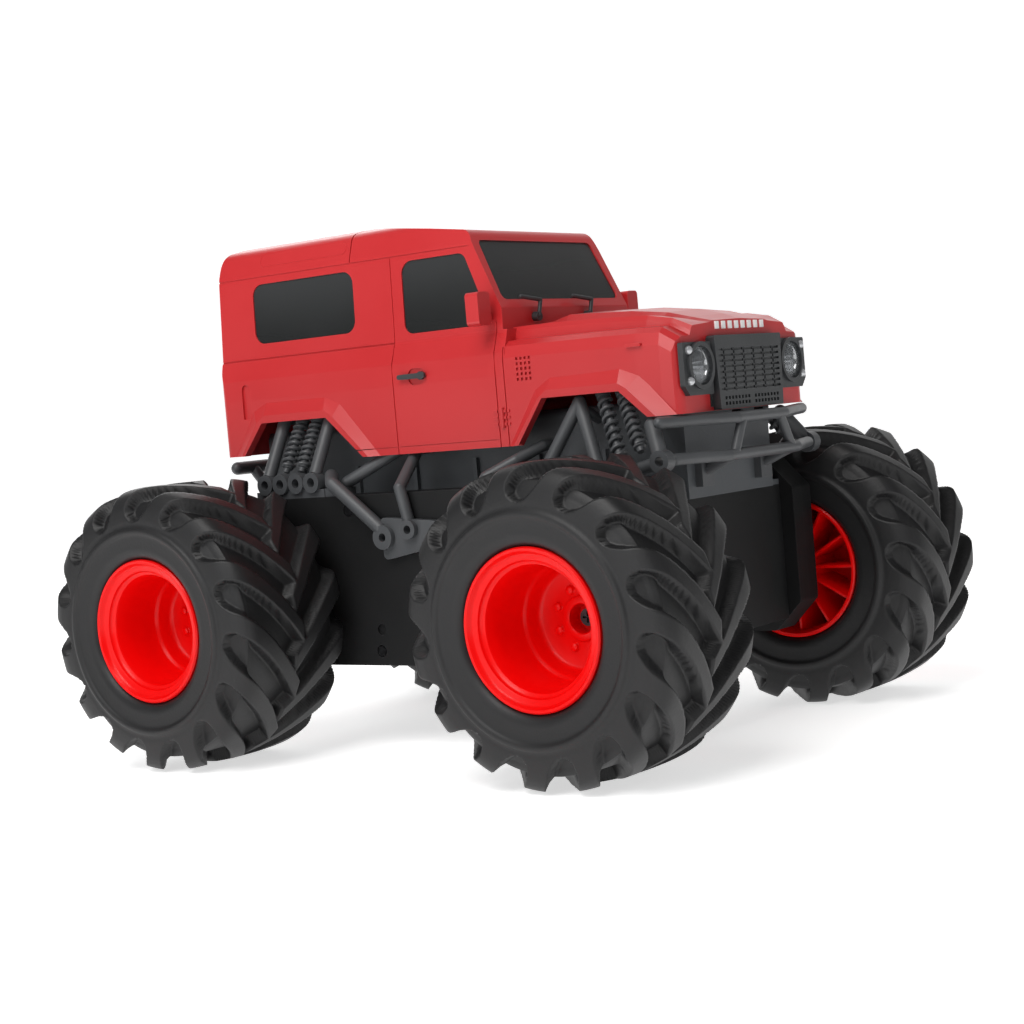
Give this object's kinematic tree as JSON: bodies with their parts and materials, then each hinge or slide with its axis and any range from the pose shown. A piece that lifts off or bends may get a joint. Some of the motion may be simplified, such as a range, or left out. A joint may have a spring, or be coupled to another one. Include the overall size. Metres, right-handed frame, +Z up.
{
  "type": "remote control car",
  "caption": "Toy off-road car for radio remote control: boxy moulded shell on a tube-framed chassis, oversized lugged tyres on deep-dish rims, geared drive to the wheels on each side.",
  "frame": {"origin": "on the ground under the middle of the car, where the box around it meets the floor", "axes": "+Z up, front of the car towards -Y, the car's left towards +X"},
  "size_m": [0.2356, 0.2924, 0.203],
  "materials": {
    "body_red": "satin",
    "window_dark": "gloss",
    "trim_black": "satin",
    "trim_grey": "matte",
    "plated": "polished",
    "lens_clear": "polished",
    "case_black": "matte",
    "cover_grey": "matte",
    "tube_grey": "satin",
    "steel": "satin",
    "bush_brass": "satin",
    "motor_case": "satin",
    "gear_white": "satin",
    "cell_sleeve": "gloss",
    "board_green": "satin",
    "tyre_rubber": "satin",
    "rim_red": "gloss"
  },
  "bodies": {
    "chassis": {"body_shell": "body_red", "windows": "window_dark", "grille": "trim_black", "headlight_bezels": "trim_black", "headlight_reflectors": "plated", "headlight_lenses": "lens_clear", "side_lamps": "lens_clear", "mirrors": "body_red", "door_handles": "trim_grey", "wipers": "trim_grey", "chassis_tub": "case_black", "tub_cover": "cover_grey", "idler_pins": "steel", "axle_bushes": "bush_brass", "rear_coilovers": "tube_grey", "front_coilovers": "tube_grey", "front_bumper": "tube_grey", "rear_bumper": "tube_grey", "battery_pack": "cell_sleeve", "circuit_board": "board_green", "power_switch": "trim_black", "screws": "steel", "case_inner_r": "case_black", "case_inner_l": "case_black", "case_outer_r": "case_black", "case_outer_l": "case_black", "side_link_r": "tube_grey", "side_link_l": "tube_grey", "rear_frame_r": "tube_grey", "rear_frame_l": "tube_grey", "front_frame_r": "tube_grey", "front_frame_l": "tube_grey", "gearmotor_r": "motor_case", "gearmotor_l": "motor_case"},
    "wheel_fr": {"tyre_fr": "tyre_rubber", "rim_fr": "rim_red", "axle_gear_fr": "gear_white", "wheel_screw_fr": "steel"},
    "wheel_rr": {"tyre_rr": "tyre_rubber", "rim_rr": "rim_red", "axle_gear_rr": "gear_white", "wheel_screw_rr": "steel"},
    "wheel_fl": {"tyre_fl": "tyre_rubber", "rim_fl": "rim_red", "axle_gear_fl": "gear_white", "wheel_screw_fl": "steel"},
    "wheel_rl": {"tyre_rl": "tyre_rubber", "rim_rl": "rim_red", "axle_gear_rl": "gear_white", "wheel_screw_rl": "steel"},
    "idler_1_r": {"idler_1_r": "gear_white"},
    "idler_2_r": {"idler_2_r": "gear_white"},
    "idler_3_r": {"idler_3_r": "gear_white"},
    "pinion_r": {"pinion_r": "gear_white"},
    "idler_1_l": {"idler_1_l": "gear_white"},
    "idler_2_l": {"idler_2_l": "gear_white"},
    "idler_3_l": {"idler_3_l": "gear_white"},
    "pinion_l": {"pinion_l": "gear_white"},
    "battery_door": {"battery_door": "case_black"},
    "switch_slider": {"switch_slider": "trim_black"}
  },
  "joints": [
    {"name": "wheel_fr_spin", "type": "hinge", "parent": "chassis", "child": "wheel_fr", "pos_m": [-0.0878, -0.09125, 0.055], "axis": [1, 0, 0], "continuous": true},
    {"name": "wheel_rr_spin", "type": "hinge", "parent": "chassis", "child": "wheel_rr", "pos_m": [-0.0878, 0.09125, 0.055], "axis": [1, 0, 0], "continuous": true},
    {"name": "idler_1_r_spin", "type": "hinge", "parent": "chassis", "child": "idler_1_r", "pos_m": [-0.047, -0.054, 0.06473], "axis": [1, 0, 0], "continuous": true},
    {"name": "idler_2_r_spin", "type": "hinge", "parent": "chassis", "child": "idler_2_r", "pos_m": [-0.047, 0, 0.06473], "axis": [1, 0, 0], "continuous": true},
    {"name": "idler_3_r_spin", "type": "hinge", "parent": "chassis", "child": "idler_3_r", "pos_m": [-0.047, 0.054, 0.06473], "axis": [1, 0, 0], "continuous": true},
    {"name": "pinion_r_spin", "type": "hinge", "parent": "chassis", "child": "pinion_r", "pos_m": [-0.047, 0.025, 0.0847], "axis": [1, 0, 0], "continuous": true},
    {"name": "wheel_fl_spin", "type": "hinge", "parent": "chassis", "child": "wheel_fl", "pos_m": [0.0878, -0.09125, 0.055], "axis": [1, 0, 0], "continuous": true},
    {"name": "wheel_rl_spin", "type": "hinge", "parent": "chassis", "child": "wheel_rl", "pos_m": [0.0878, 0.09125, 0.055], "axis": [1, 0, 0], "continuous": true},
    {"name": "idler_1_l_spin", "type": "hinge", "parent": "chassis", "child": "idler_1_l", "pos_m": [0.047, -0.054, 0.06473], "axis": [1, 0, 0], "continuous": true},
    {"name": "idler_2_l_spin", "type": "hinge", "parent": "chassis", "child": "idler_2_l", "pos_m": [0.047, 0, 0.06473], "axis": [1, 0, 0], "continuous": true},
    {"name": "idler_3_l_spin", "type": "hinge", "parent": "chassis", "child": "idler_3_l", "pos_m": [0.047, 0.054, 0.06473], "axis": [1, 0, 0], "continuous": true},
    {"name": "pinion_l_spin", "type": "hinge", "parent": "chassis", "child": "pinion_l", "pos_m": [0.047, 0.025, 0.0847], "axis": [1, 0, 0], "continuous": true},
    {"name": "battery_door_hinge", "type": "hinge", "parent": "chassis", "child": "battery_door", "pos_m": [0, -0.006, 0.0392], "axis": [1, 0, 0], "range_deg": [0, 95]},
    {"name": "power_switch_slide", "type": "slide", "parent": "chassis", "child": "switch_slider", "axis": [0, 1, 0], "range_m": [0, 0.003]}
  ],
  "couplings": [
    {"joint": "wheel_rr_spin", "follows": "wheel_fr_spin", "ratio": 1},
    {"joint": "idler_1_r_spin", "follows": "wheel_fr_spin", "ratio": -0.42593},
    {"joint": "idler_2_r_spin", "follows": "wheel_fr_spin", "ratio": 0.42593},
    {"joint": "idler_3_r_spin", "follows": "wheel_fr_spin", "ratio": -0.42593},
    {"joint": "pinion_r_spin", "follows": "wheel_fr_spin", "ratio": -2.3},
    {"joint": "wheel_rl_spin", "follows": "wheel_fl_spin", "ratio": 1},
    {"joint": "idler_1_l_spin", "follows": "wheel_fl_spin", "ratio": -0.42593},
    {"joint": "idler_2_l_spin", "follows": "wheel_fl_spin", "ratio": 0.42593},
    {"joint": "idler_3_l_spin", "follows": "wheel_fl_spin", "ratio": -0.42593},
    {"joint": "pinion_l_spin", "follows": "wheel_fl_spin", "ratio": -2.3}
  ]
}
